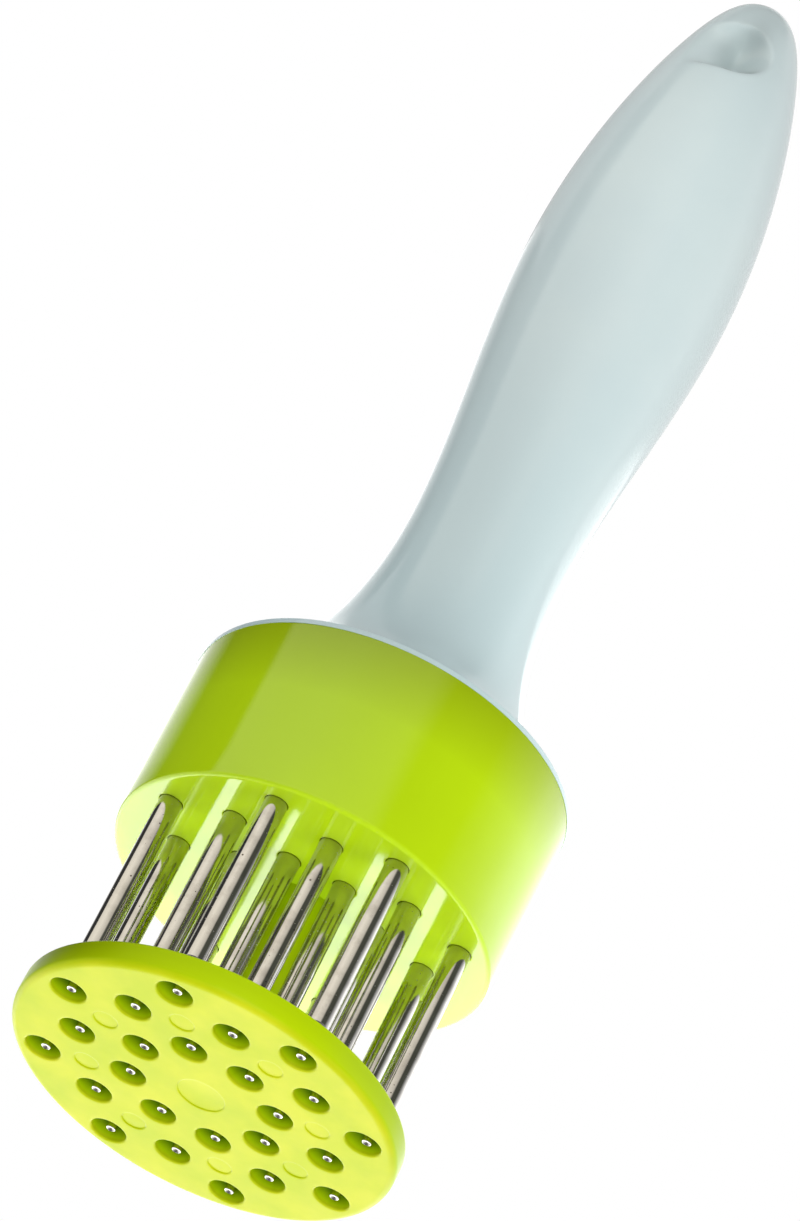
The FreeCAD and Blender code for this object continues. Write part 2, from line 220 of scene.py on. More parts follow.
def bezier(poles, steps):
    """Points of a Bezier curve, ends included."""
    order = len(poles) - 1
    places = []
    for share in np.linspace(0, 1, steps + 1):
        weights = [math.comb(order, i) * share ** i * (1 - share) ** (order - i)
                   for i in range(order + 1)]
        radius = sum(w * p[0] for w, p in zip(weights, poles))
        height = sum(w * p[1] for w, p in zip(weights, poles))
        places.append((max(radius, 0.0), height))
    return places


def straight(start, end, steps):
    """Evenly spaced points of a straight stretch, ends included."""
    way = np.subtract(end, start)
    return [tuple(np.add(start, np.multiply(way, share))) for share in np.linspace(0, 1, steps + 1)]


def turn_profile(shape, profile, steps):
    """Adds the profile, turned about Z, to a bmesh; a point on the axis becomes one vertex."""
    rings = []
    for radius, height in profile:
        if radius < ON_AXIS:
            rings.append([shape.verts.new((0, 0, height))])
            continue
        angles = [2 * math.pi * step / steps for step in range(steps)]
        rings.append([shape.verts.new((radius * math.cos(a), radius * math.sin(a), height)) for a in angles])
    for low, high in zip(rings, rings[1:]):
        for step in range(steps):
            after = (step + 1) % steps
            if len(low) == 1:
                shape.faces.new((low[0], high[step], high[after]))
            elif len(high) == 1:
                shape.faces.new((low[step], high[0], low[after]))
            else:
                shape.faces.new((low[step], high[step], high[after], low[after]))


def turned_mesh(name, profiles):
    """Mesh of one or more (profile, steps) turned about Z, in millimetres."""
    shape = bmesh.new()
    for profile, steps in profiles:
        turn_profile(shape, profile, steps)
    mesh = bpy.data.meshes.new(name)
    shape.to_mesh(mesh)
    shape.free()
    return mesh


def linked_object(name, data):
    """New object of this mesh, lamp or camera, put into the scene."""
    made = bpy.data.objects.new(name, data)
    bpy.context.scene.collection.objects.link(made)
    return made


def finished(piece):
    """Closes the mesh, turns its faces outwards, shades it and brings it to metres."""
    shape = bmesh.new()
    shape.from_mesh(piece.data)
    bmesh.ops.remove_doubles(shape, verts=shape.verts, dist=MERGE_DISTANCE)
    bmesh.ops.recalc_face_normals(shape, faces=shape.faces)
    shape.to_mesh(piece.data)
    shape.free()
    piece.data.transform(Matrix.Scale(MM, 4))
    piece.data.shade_smooth()
    piece.data.set_sharp_from_angle(angle=math.radians(SHARP_ANGLE))
    return piece


# ---------------------------------------------------------------------------
# Node trees
# ---------------------------------------------------------------------------

def feed(tree, node, inputs):
    """Gives each named input its value or links what feeds it: an output, a node, which stands
    for its first output, or a list of them."""
    for name, given in inputs.items():
        for source in given if isinstance(given, list) else [given]:
            if isinstance(source, bpy.types.Node):
                source = source.outputs[0]
            if isinstance(source, bpy.types.NodeSocket):
                tree.links.new(source, node.inputs[name])
            else:
                node.inputs[name].default_value = source


def add(tree, kind, inputs=None, **settings):
    """Adds a node with its settings and what its inputs are given."""
    node = tree.nodes.new(kind)
    for name, value in settings.items():
        setattr(node, name, value)
    feed(tree, node, inputs or {})
    return node


def geometry_tree(name, inputs):
    """Empty Geometry Nodes tree with a geometry input and named inputs; returns it and its inputs."""
    tree = bpy.data.node_groups.new(name, "GeometryNodeTree")
    tree.interface.new_socket("Geometry", in_out="INPUT", socket_type="NodeSocketGeometry")
    for label, kind in inputs.items():
        tree.interface.new_socket(label, in_out="INPUT", socket_type=kind)
    tree.interface.new_socket("Geometry", in_out="OUTPUT", socket_type="NodeSocketGeometry")
    return tree, add(tree, "NodeGroupInput").outputs


RING_INPUTS = {
    "Ring Count": "NodeSocketInt",
    "Inner Ring": "NodeSocketFloat",
    "Middle Ring": "NodeSocketFloat",
    "Outer Ring": "NodeSocketFloat",
    "Middle Turn": "NodeSocketFloat",
}
RING_VALUES = {
    "Ring Count": RING_COUNT,
    "Inner Ring": INNER_RING,
    "Middle Ring": MIDDLE_RING,
    "Outer Ring": OUTER_RING,
    "Middle Turn": MIDDLE_TURN,
}


def ring_points(tree, given):
    """The needle pattern as points: three rings of equal count, the middle one turned."""
    inner, middle, outer = [
        add(tree, "GeometryNodeMeshCircle", {"Vertices": given["Ring Count"], "Radius": given[label]})
        for label in ("Inner Ring", "Middle Ring", "Outer Ring")]
    turn = add(tree, "FunctionNodeAxisAngleToRotation", {"Angle": given["Middle Turn"]})
    turned = add(tree, "GeometryNodeTransform", {"Geometry": middle, "Rotation": turn})
    return add(tree, "GeometryNodeJoinGeometry", {"Geometry": [inner, turned, outer]})


def raised(tree, geometry, height):
    """The geometry, moved up."""
    place = add(tree, "ShaderNodeCombineXYZ", {"Z": height})
    return add(tree, "GeometryNodeTransform", {"Geometry": geometry, "Translation": place})


def filled(tree, loops, height):
    """Flat face between nested outlines, raised to its height."""
    joined = add(tree, "GeometryNodeJoinGeometry", {"Geometry": loops})
    real = add(tree, "GeometryNodeRealizeInstances", {"Geometry": joined})
    return raised(tree, add(tree, "GeometryNodeFillCurve", {"Curve": real}), height)


def close_tree(tree, parts, material):
    """Ends a tree: joins the parts, makes copies real and gives them their material."""
    joined = add(tree, "GeometryNodeJoinGeometry", {"Geometry": parts})
    real = add(tree, "GeometryNodeRealizeInstances", {"Geometry": joined})
    done = add(tree, "GeometryNodeSetMaterial", {"Geometry": real, "Material": material})
    add(tree, "NodeGroupOutput", {"Geometry": done})


def needle_tree():
    """Copies the one needle it is given onto the needle pattern. Its origin is where the drum
    grips it, and each copy leans a little its own way from there."""
    inputs = {**RING_INPUTS, "Grip Height": "NodeSocketFloat", "Least Lean": "NodeSocketVector",
              "Most Lean": "NodeSocketVector", "Lean Seed": "NodeSocketInt", "Material": "NodeSocketMaterial"}
    tree, given = geometry_tree("needle_pattern", inputs)
    points = raised(tree, ring_points(tree, given), given["Grip Height"])
    lean = add(tree, "FunctionNodeRandomValue",
               {"Min": given["Least Lean"], "Max": given["Most Lean"], "Seed": given["Lean Seed"]},
               data_type="FLOAT_VECTOR")
    needles = add(tree, "GeometryNodeInstanceOnPoints",
                  {"Points": points, "Instance": given["Geometry"], "Rotation": lean})
    close_tree(tree, [needles], given["Material"])
    return tree


def pierced_tree(name, marked):
    """Disc pierced by the needle pattern: two flat faces and a wall in each hole.

    The turned rim and middle come in as the geometry. A marked disc also has a ring of
    moulding marks in its lower face.
    """
    inputs = {**RING_INPUTS, "Hole Wall": "NodeSocketObject", "Material": "NodeSocketMaterial"}
    for side in ("Low", "High"):
        for size in ("Rim", "Middle", "Hole", "Level"):
            inputs[side + " " + size] = "NodeSocketFloat"
    if marked:
        inputs.update({"Mark": "NodeSocketObject", "Mark Ring": "NodeSocketFloat",
                       "Mark Rim": "NodeSocketFloat"})
    tree, given = geometry_tree(name, inputs)
    points = ring_points(tree, given)
    wall = add(tree, "GeometryNodeObjectInfo", {"Object": given["Hole Wall"]}).outputs["Geometry"]
    walls = add(tree, "GeometryNodeInstanceOnPoints", {"Points": points, "Instance": wall})
    parts = [given["Geometry"], walls]
    mark_rims = []
    if marked:
        ring = add(tree, "GeometryNodeMeshCircle",
                   {"Vertices": given["Ring Count"], "Radius": given["Mark Ring"]})
        mark = add(tree, "GeometryNodeObjectInfo", {"Object": given["Mark"]}).outputs["Geometry"]
        parts.append(add(tree, "GeometryNodeInstanceOnPoints", {"Points": ring, "Instance": mark}))
        rim = add(tree, "GeometryNodeCurvePrimitiveCircle",
                  {"Resolution": HOLE_STEPS, "Radius": given["Mark Rim"]})
        mark_rims.append(add(tree, "GeometryNodeInstanceOnPoints", {"Points": ring, "Instance": rim}))
    for side, extra in (("Low", mark_rims), ("High", [])):
        outlines = {}
        for size, steps in (("Hole", HOLE_STEPS), ("Rim", ROUND_STEPS), ("Middle", HOLE_STEPS)):
            outlines[size] = add(tree, "GeometryNodeCurvePrimitiveCircle",
                                 {"Resolution": steps, "Radius": given[side + " " + size]})
        holes = add(tree, "GeometryNodeInstanceOnPoints", {"Points": points, "Instance": outlines["Hole"]})
        loops = [outlines["Rim"], outlines["Middle"], holes] + extra
        parts.append(filled(tree, loops, given[side + " Level"]))
    close_tree(tree, parts, given["Material"])
    return tree


def grown(name, mesh, tree, values):
    """Runs a tree on a mesh with its named values and keeps the result as one plain mesh."""
    seed = linked_object(name + "_seed", mesh)
    modifier = seed.modifiers.new("grow", "NODES")
    modifier.node_group = tree
    for item in tree.interface.items_tree:
        if item.in_out == "INPUT" and item.name in values:
            modifier[item.identifier] = values[item.name]
    bpy.context.view_layer.update()
    evaluated = seed.evaluated_get(bpy.context.evaluated_depsgraph_get())
    plain = bpy.data.meshes.new_from_object(evaluated)
    plain.name = name
    seed.modifiers.remove(modifier)
    bpy.data.objects.remove(seed)
    return finished(linked_object(name, plain))


# ---------------------------------------------------------------------------
# Materials
# ---------------------------------------------------------------------------

PLASTIC_IOR = 1.49
MIX_A, MIX_B, MIXED = 6, 7, 2    # a Mix node's colour sockets, whose names other sockets share

# Where the painted light and shade begin and end, in millimetres
FOOT_SHADE_FULL = 10.0            # painted shade on the handle's foot, deeper and cooler towards the drum's top
FOOT_SHADE_END = 75.0
WALL_TOP_PAINTED_SHADE = 11.0               # how far down from the drum's top its wall takes painted shade, darker towards the top
FLOOR_GLOW = 0.7                 # how far up the drum's wall the painted glow at its lower edge reaches
PLATE_GLOW_START = 0.2           # painted light: the guard turns greener and brighter above its underside
PLATE_GLOW_END = 0.9
HOLE_SHADE_START = 0.7                 # painted shade: the holes' colour deepens between these two heights
HOLE_SHADE_END = 2.8
HOLE_SHADE_FALL_START = 0.5            # and goes back between these two depths below the upper face
HOLE_SHADE_FALL_END = 0.1
HOLE_SHADE_ON_RIM = 0.12               # share of the painted shade that the rim takes


def linear(code):
    """Linear colour of an sRGB hex value."""
    channels = [int(code[i:i + 2], 16) / 255 for i in (0, 2, 4)]
    return tuple(c / 12.92 if c <= 0.04045 else ((c + 0.055) / 1.055) ** 2.4 for c in channels) + (1.0,)


def per_metre(size_mm):
    """Texture scale of a pattern whose features are this large."""
    return 1.0 / (size_mm * MM)


def new_material(name):
    """Empty material; returns it, its tree, its Principled shader and object coordinates."""
    material = bpy.data.materials.new(name)
    material.use_nodes = True
    tree = material.node_tree
    return material, tree, tree.nodes["Principled BSDF"], add(tree, "ShaderNodeTexCoord").outputs["Object"]


def specks(tree, place, cell_mm, largest_mm):
    """1 on sparse round specks of mixed size, 0 elsewhere."""
    cells = add(tree, "ShaderNodeTexVoronoi", {"Vector": place, "Scale": per_metre(cell_mm)}).outputs
    chance = add(tree, "ShaderNodeSeparateColor", {"Color": cells["Color"]}).outputs["Red"]
    radius = add(tree, "ShaderNodeMapRange",
                 {"Value": chance, "From Min": 0.55, "From Max": 1.0, "To Max": largest_mm / cell_mm})
    return add(tree, "ShaderNodeMath", {0: cells["Distance"], 1: radius}, operation="LESS_THAN")


def moulded_plastic(name, colour, flow, flow_mm, speck, roughness, specular, skin_mm, skin_depth_mm):
    """Injection-moulded polypropylene or ABS.

    The eye gets a clean glossy skin with faint cloudy flow in the colour, slight changes of
    gloss, a very fine mould skin in the highlights and a few dust specks.
    """
    material, tree, shader, place = new_material(name)
    clouds = add(tree, "ShaderNodeTexNoise", {"Vector": place, "Scale": per_metre(flow_mm), "Detail": 3.0})
    share = add(tree, "ShaderNodeMapRange", {"Value": clouds, "From Min": 0.35, "From Max": 0.65})
    flowed = add(tree, "ShaderNodeMix", {"Factor": share, MIX_A: linear(colour), MIX_B: linear(flow)},
                 data_type="RGBA").outputs[MIXED]
    dust = specks(tree, place, cell_mm=16.0, largest_mm=0.22)
    dusty = add(tree, "ShaderNodeMix", {"Factor": dust, MIX_A: flowed, MIX_B: linear(speck)},
                data_type="RGBA").outputs[MIXED]
    handled = add(tree, "ShaderNodeTexNoise", {"Vector": place, "Scale": per_metre(6.0), "Detail": 3.0})
    gloss = add(tree, "ShaderNodeMapRange",
                {"Value": handled, "From Min": 0.3, "From Max": 0.7,
                 "To Min": roughness - 0.02, "To Max": roughness + 0.03})
    skin = add(tree, "ShaderNodeTexNoise", {"Vector": place, "Scale": per_metre(skin_mm), "Detail": 2.0})
    bump = add(tree, "ShaderNodeBump", {"Height": skin, "Strength": 1.0, "Distance": skin_depth_mm * MM})
    feed(tree, shader, {"Base Color": dusty, "Roughness": gloss, "Normal": bump,
                        "IOR": PLASTIC_IOR, "Specular IOR Level": specular})
    return material


def paint_light_by_height(material, colour, start_mm, end_mm):
    """Paints light or shade into the colour along the axis: between the two heights the colour turns to the
    given one, as painted shade where that is deeper and as painted glow where it is paler."""
    tree = material.node_tree
    shader = tree.nodes["Principled BSDF"]
    before = shader.inputs["Base Color"].links[0].from_socket
    place = add(tree, "ShaderNodeTexCoord").outputs["Object"]
    height = add(tree, "ShaderNodeSeparateXYZ", {"Vector": place}).outputs["Z"]
    share = add(tree, "ShaderNodeMapRange",
                {"Value": height, "From Min": start_mm * MM, "From Max": end_mm * MM})
    light_painted = add(tree, "ShaderNodeMix", {"Factor": share, MIX_A: before, MIX_B: linear(colour)},
                 data_type="RGBA").outputs[MIXED]
    feed(tree, shader, {"Base Color": light_painted})


def paint_shade_in_holes(material, colour):
    """Paints shade down the plate's holes: the colour deepens where little light comes back out of the
    plastic.
    """
    tree = material.node_tree
    shader = tree.nodes["Principled BSDF"]
    before = shader.inputs["Base Color"].links[0].from_socket
    place = add(tree, "ShaderNodeTexCoord").outputs["Object"]
    parts = add(tree, "ShaderNodeSeparateXYZ", {"Vector": place}).outputs
    flat = add(tree, "ShaderNodeCombineXYZ", {"X": parts["X"], "Y": parts["Y"]})
    radius = add(tree, "ShaderNodeVectorMath", {0: flat}, operation="LENGTH").outputs["Value"]
    inner = add(tree, "ShaderNodeMapRange",
                {"Value": radius, "From Min": (PLATE_R - PLATE_UNDER_ROUND) * MM, "From Max": PLATE_R * MM,
                 "To Min": 1.0, "To Max": HOLE_SHADE_ON_RIM})
    rise = add(tree, "ShaderNodeMapRange",
               {"Value": parts["Z"], "From Min": HOLE_SHADE_START * MM, "From Max": HOLE_SHADE_END * MM})
    fall = add(tree, "ShaderNodeMapRange",
               {"Value": parts["Z"], "From Min": (PLATE_T - HOLE_SHADE_FALL_START) * MM,
                "From Max": (PLATE_T - HOLE_SHADE_FALL_END) * MM, "To Min": 1.0, "To Max": 0.0})
    depth = add(tree, "ShaderNodeMath", {0: rise, 1: fall}, operation="MULTIPLY")
    share = add(tree, "ShaderNodeMath", {0: depth, 1: inner}, operation="MULTIPLY")
    hole_shaded = add(tree, "ShaderNodeMix", {"Factor": share, MIX_A: before, MIX_B: linear(colour)},
               data_type="RGBA").outputs[MIXED]
    feed(tree, shader, {"Base Color": hole_shaded})


def polished_steel(name, colour, stain, pit, roughness):
    """Ground and polished stainless wire.

    The eye gets clear dark and light stripes along the needle, broken by fine lengthwise
    scratches, scattered pits and slightly duller patches from handling.
    """
    material, tree, shader, place = new_material(name)
    patchy = add(tree, "ShaderNodeTexNoise", {"Vector": place, "Scale": per_metre(3.0), "Detail": 4.0})
    patches = add(tree, "ShaderNodeMapRange", {"Value": patchy, "From Min": 0.45, "From Max": 0.75})
    stained = add(tree, "ShaderNodeMix", {"Factor": patches, MIX_A: linear(colour), MIX_B: linear(stain)},
                  data_type="RGBA").outputs[MIXED]
    pits = specks(tree, place, cell_mm=1.1, largest_mm=0.16)
    pitted = add(tree, "ShaderNodeMix", {"Factor": pits, MIX_A: stained, MIX_B: linear(pit)},
                 data_type="RGBA").outputs[MIXED]
    along = add(tree, "ShaderNodeMapping", {"Vector": place, "Scale": (1.0, 1.0, 0.05)})
    scratches = add(tree, "ShaderNodeTexNoise", {"Vector": along, "Scale": per_metre(0.22), "Detail": 3.0})
    worn = add(tree, "ShaderNodeMapRange",
               {"Value": scratches, "From Min": 0.35, "From Max": 0.8,
                "To Min": roughness, "To Max": roughness + 0.08})
    dents = specks(tree, place, cell_mm=0.45, largest_mm=0.09)
    dull = add(tree, "ShaderNodeMapRange", {"Value": dents, "To Max": 0.5})
    rough = add(tree, "ShaderNodeMath", {0: worn, 1: dull}, operation="MAXIMUM")
    bump = add(tree, "ShaderNodeBump", {"Height": scratches, "Strength": 1.0, "Distance": 0.004 * MM})
    feed(tree, shader, {"Base Color": pitted, "Roughness": rough, "Normal": bump, "Metallic": 1.0})
    return material


def drawn_steel(name, colour, line, roughness, line_mm):
    """Plain stainless steel of the hidden fasteners and spring.

    The eye gets a satin surface with fine turning or drawing lines round it.
    """
    material, tree, shader, place = new_material(name)
    round_it = add(tree, "ShaderNodeMapping", {"Vector": place, "Scale": (0.2, 0.2, 1.0)})
    lines = add(tree, "ShaderNodeTexNoise", {"Vector": round_it, "Scale": per_metre(line_mm), "Detail": 2.0})
    tone = add(tree, "ShaderNodeMix", {"Factor": lines, MIX_A: linear(colour), MIX_B: linear(line)},
               data_type="RGBA").outputs[MIXED]
    satin = add(tree, "ShaderNodeMapRange",
                {"Value": lines, "From Min": 0.3, "From Max": 0.7,
                 "To Min": roughness - 0.05, "To Max": roughness + 0.08})
    feed(tree, shader, {"Base Color": tone, "Roughness": satin, "Metallic": 1.0})
    return material


mint_handle = moulded_plastic("mint_abs_moulded", colour="d5e4e4", flow="d1e1e2", flow_mm=22.0, speck="7f8d8e",
                              roughness=0.13, specular=0.45, skin_mm=0.9, skin_depth_mm=0.0015)
# painted shade: the handle's foot turns deeper and cooler towards the drum
paint_light_by_height(mint_handle, "cce1e3", DRUM_TOP + FOOT_SHADE_END, DRUM_TOP + FOOT_SHADE_FULL)

lime_drum = moulded_plastic("lime_polypropylene_gloss", colour="bfe20a", flow="c2e60c", flow_mm=22.0,
                            speck="7f9a10", roughness=0.06, specular=0.5, skin_mm=1.4, skin_depth_mm=0.003)
# painted shade: the drum's wall darker towards its top
paint_light_by_height(lime_drum, "a2bc08", DRUM_TOP - WALL_TOP_PAINTED_SHADE, DRUM_TOP)
# painted glow: the drum's wall paler towards its lower edge
paint_light_by_height(lime_drum, "cdf21c", DRUM_LOW + FLOOR_GLOW, DRUM_LOW)

lime_guard = moulded_plastic("lime_polypropylene_satin", colour="b9c905", flow="cbd21b", flow_mm=10.0,
                             speck="8f9a10", roughness=0.30, specular=0.09, skin_mm=0.8, skin_depth_mm=0.006)
# painted light: the guard greener and brighter above its underside than on it
paint_light_by_height(lime_guard, "bedb02", PLATE_GLOW_START, PLATE_GLOW_END)
# painted shade: deep green down the guard's holes, a little of it on the rim
paint_shade_in_holes(lime_guard, "467c0e")

pale_disc = moulded_plastic("natural_polypropylene", colour="dfe3de", flow="d8ddd8", flow_mm=22.0,
                            speck="b0b5b0", roughness=0.45, specular=0.5, skin_mm=0.7, skin_depth_mm=0.006)
needle_steel = polished_steel("polished_stainless_needles", colour="c6c4c0", stain="aeaba6", pit="6d675f",
                              roughness=0.07)
fastener_steel = drawn_steel("turned_stainless_fasteners", colour="b4b4b0", line="8f8f8c", roughness=0.32,
                             line_mm=0.25)
spring_steel = drawn_steel("spring_wire", colour="9c9c99", line="8f8f8c", roughness=0.38, line_mm=0.2)


# ---------------------------------------------------------------------------
# Handle
# ---------------------------------------------------------------------------

def grip_curves():
    """Bell foot, grip and rounded tip, from the flange up."""
    neck = DRUM_TOP + NECK_HEIGHT
    belly = DRUM_TOP + BELLY_HEIGHT
    flare = bezier([(FLANGE_R - FLANGE_ROUND, DRUM_TOP + FLANGE_T),
                    (NECK_R + FLARE_HOLLOW, DRUM_TOP + FLARE_HOLLOW_HEIGHT),
                    (NECK_R, neck - FLARE_EASE), (NECK_R, neck)], FLARE_STEPS)
    grip = bezier([(NECK_R, neck), (NECK_R, neck + NECK_EASE),
                   (BELLY_R, belly - BELLY_LOW_EASE), (BELLY_R, belly)], GRIP_STEPS)
    tip = bezier([(BELLY_R, belly), (BELLY_R, belly + BELLY_TOP_EASE),
                  (TIP_SHOULDER_R, TIP - TIP_SHOULDER_DROP), (TIP_CROWN_R, TIP), (0, TIP)], TIP_STEPS)
    return flare + grip[1:], tip[1:]


def foot_inside():
    """From the flange's rim round the skirt, the spring tube, its pocket and the core to the axis."""
    skirt_r = DRUM_LOW_R - DRUM_WALL - SKIRT_CLEARANCE
    snap = DRUM_TOP - SNAP_DROP
    bead_out = math.degrees(math.acos(SNAP_BEAD_SINK / SNAP_BEAD_R))
    bush_top = DRUM_LOW + DRUM_FLOOR_T + BUSH_HEIGHT
    seat = SPRING_TOP + SPRING_END_GAP
    tube_r = POCKET_R + TUBE_WALL
    skirt = [(FLANGE_R, DRUM_TOP), (skirt_r, DRUM_TOP)]
    skirt += arc((skirt_r - SNAP_BEAD_SINK, snap), SNAP_BEAD_R, bead_out, -bead_out, 10)
    skirt += [(skirt_r, FOOT_LOW), (skirt_r - SKIRT_WALL, FOOT_LOW), (skirt_r - SKIRT_WALL, DRUM_TOP)]
    tube = [(tube_r, DRUM_TOP), (tube_r, bush_top + POCKET_GAP), (POCKET_R, bush_top + POCKET_GAP)]
    pocket = [(POCKET_R, seat - NEST_HEIGHT), (NEST_R, seat - NEST_HEIGHT), (NEST_R, seat)]
    core = [(CORE_LOW_R, seat), (CORE_TOP_R, seat + CORE_LENGTH)]
    end = arc((0, seat + CORE_LENGTH), CORE_TOP_R, 0, 90, 12)[1:]
    return skirt + tube + pocket + core + end


def press_dimple(mesh):
    """Presses the thumb dimple in towards the axis: it has a steep round end and an even bottom,
    and runs out at the other end."""
    for vertex in mesh.vertices:
        radius = math.hypot(vertex.co.x, vertex.co.y)
        turn = math.atan2(vertex.co.x, -vertex.co.y) - math.radians(DIMPLE_TURN)
        along = turn * radius
        middle = TIP - DIMPLE_DROP + DIMPLE_LEAN * min(along, 0.0)
        rise = (vertex.co.z - middle) / DIMPLE_R
        if abs(rise) > DIMPLE_REACH or radius < CORE_LOW_R or abs(turn) > math.pi / 2:
            continue
        across = math.hypot(max(along, 0.0) / DIMPLE_END_R, rise)
        inside = 1.0 - across ** DIMPLE_SQUARENESS
        eased = (inside + math.hypot(inside, DIMPLE_EASE)) / 2
        share = min(max(1.0 + along / DIMPLE_RUN, 0.0), 1.0)
        push = DIMPLE_DEPTH * eased * share * share * (3 - 2 * share)
        vertex.co.x *= 1.0 - push / radius
        vertex.co.y *= 1.0 - push / radius


def make_handle():
    """Pale grip in one closed form with the foot that goes down into the drum."""
    grip, tip = grip_curves()
    lip = arc((FLANGE_R - FLANGE_ROUND, DRUM_TOP + FLANGE_T - FLANGE_ROUND), FLANGE_ROUND, 0, 90, 6)
    profile = list(reversed(foot_inside())) + lip[:-1] + grip + tip
    mesh = turned_mesh("handle_grip", [(profile, ROUND_STEPS)])
    press_dimple(mesh)
    piece = finished(linked_object("handle_grip", mesh))
    piece.data.materials.append(mint_handle)
    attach(piece, "tool")
    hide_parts("handle")


# ---------------------------------------------------------------------------
# Drum
# ---------------------------------------------------------------------------

def make_drum():
    """Lime cup: glossy wall, flat lower face with a tight hole for each needle, guide bush."""
    floor_top = DRUM_LOW + DRUM_FLOOR_T
    bore = DRUM_LOW_R - DRUM_WALL
    snap = DRUM_TOP - SNAP_DROP
    groove_r = SNAP_BEAD_R + SNAP_CLEARANCE
    groove_x = bore - SKIRT_CLEARANCE - SNAP_BEAD_SINK
    groove_out = math.degrees(math.acos((bore - groove_x) / groove_r))
    low_rim = DRUM_LOW_R - DRUM_LOW_ROUND - FLAT_MARGIN
    rim = [(low_rim, DRUM_LOW)]
    rim += arc((DRUM_LOW_R - DRUM_LOW_ROUND, DRUM_LOW + DRUM_LOW_ROUND), DRUM_LOW_ROUND, -90, 0, 8)
    rim += straight(rim[-1], (DRUM_TOP_R, DRUM_TOP), 6)[1:]
    rim += [(bore, DRUM_TOP)]
    rim += arc((groove_x, snap), groove_r, groove_out, -groove_out, 8)
    rim += [(bore, floor_top), (bore - FLAT_MARGIN, floor_top)]
    bush = [(BUSH_R + FLAT_MARGIN, floor_top), (BUSH_R, floor_top), (BUSH_R, floor_top + BUSH_HEIGHT),
            (BUSH_BORE_R, floor_top + BUSH_HEIGHT)]
    bush += arc((BUSH_BORE_R + BUSH_LIP, DRUM_LOW + BUSH_LIP), BUSH_LIP, 180, 270, 5)
    bush += [(BUSH_BORE_R + BUSH_LIP + FLAT_MARGIN, DRUM_LOW)]
    mesh = turned_mesh("drum_body", [(rim, ROUND_STEPS), (bush, HOLE_STEPS)])
    hole_rim = DRUM_HOLE_R + DRUM_HOLE_LIP + FLAT_MARGIN
    hole = [(hole_rim, DRUM_LOW)]
    hole += arc((DRUM_HOLE_R + DRUM_HOLE_LIP, DRUM_LOW + DRUM_HOLE_LIP), DRUM_HOLE_LIP, 270, 180, 4)
    hole += [(DRUM_HOLE_R, floor_top), (hole_rim, floor_top)]
    wall = linked_object("drum_hole_wall", turned_mesh("drum_hole_wall", [(hole, HOLE_STEPS)]))
    sizes = {**RING_VALUES, "Hole Wall": wall, "Material": lime_drum,
             "Low Rim": low_rim, "Low Middle": bush[-1][0], "Low Hole": hole_rim, "Low Level": DRUM_LOW,
             "High Rim": bore - FLAT_MARGIN, "High Middle": BUSH_R + FLAT_MARGIN, "High Hole": hole_rim,
             "High Level": floor_top}
    piece = grown("drum_shell", mesh, pierced_tree("pierced_floor", False), sizes)
    bpy.data.objects.remove(wall)
    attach(piece, "tool")
    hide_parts("drum")


# ---------------------------------------------------------------------------
# Guard plate
# ---------------------------------------------------------------------------

def guard_hole():
    """Needle hole with a soft mouth below, a drafted wall and a small lip above."""
    slope = (HOLE_UNDER_R - HOLE_TOP_R) / PLATE_T
    low_r = HOLE_UNDER_R - slope * HOLE_UNDER_LIP
    high_r = HOLE_TOP_R + slope * HOLE_TOP_LIP
    low_rim = low_r + HOLE_UNDER_LIP + FLAT_MARGIN
    high_rim = high_r + HOLE_TOP_LIP + FLAT_MARGIN
    hole = [(low_rim, 0.0)]
    hole += arc((low_r + HOLE_UNDER_LIP, HOLE_UNDER_LIP), HOLE_UNDER_LIP, 270, 180, 7)
    hole += straight(hole[-1], (high_r, PLATE_T - HOLE_TOP_LIP), 4)[1:]
    hole += arc((high_r + HOLE_TOP_LIP, PLATE_T - HOLE_TOP_LIP), HOLE_TOP_LIP, 180, 90, 4)[1:]
    hole += [(high_rim, PLATE_T)]
    return hole, low_rim, high_rim


def moulding_mark():
    """Shallow round mark left by an ejector pin."""
    mark = [(MARK_R + MARK_ROUND + FLAT_MARGIN, 0.0)]
    mark += arc((MARK_R + MARK_ROUND, MARK_ROUND), MARK_ROUND, 270, SHALLOW_ROUND_END, 4)
    mark += [(MARK_R - MARK_ROUND, MARK_DEPTH), (MARK_R / 2, MARK_HALF_WAY_DEPTH), (0, MARK_MIDDLE_DEPTH)]
    return mark


def gate_dish():
    """Round dish in the middle of the underside, where the plastic was fed in: a short steep
    edge and a bottom that deepens a little towards the middle."""
    dish = [(DISH_R + DISH_ROUND + FLAT_MARGIN, 0.0)]
    dish += arc((DISH_R + DISH_ROUND, DISH_ROUND), DISH_ROUND, 270, SHALLOW_ROUND_END, 4)
    dish += bezier([(DISH_R - DISH_ROUND, DISH_EDGE), (DISH_R / 2, DISH_DEPTH), (0, DISH_DEPTH)], 10)
    return dish


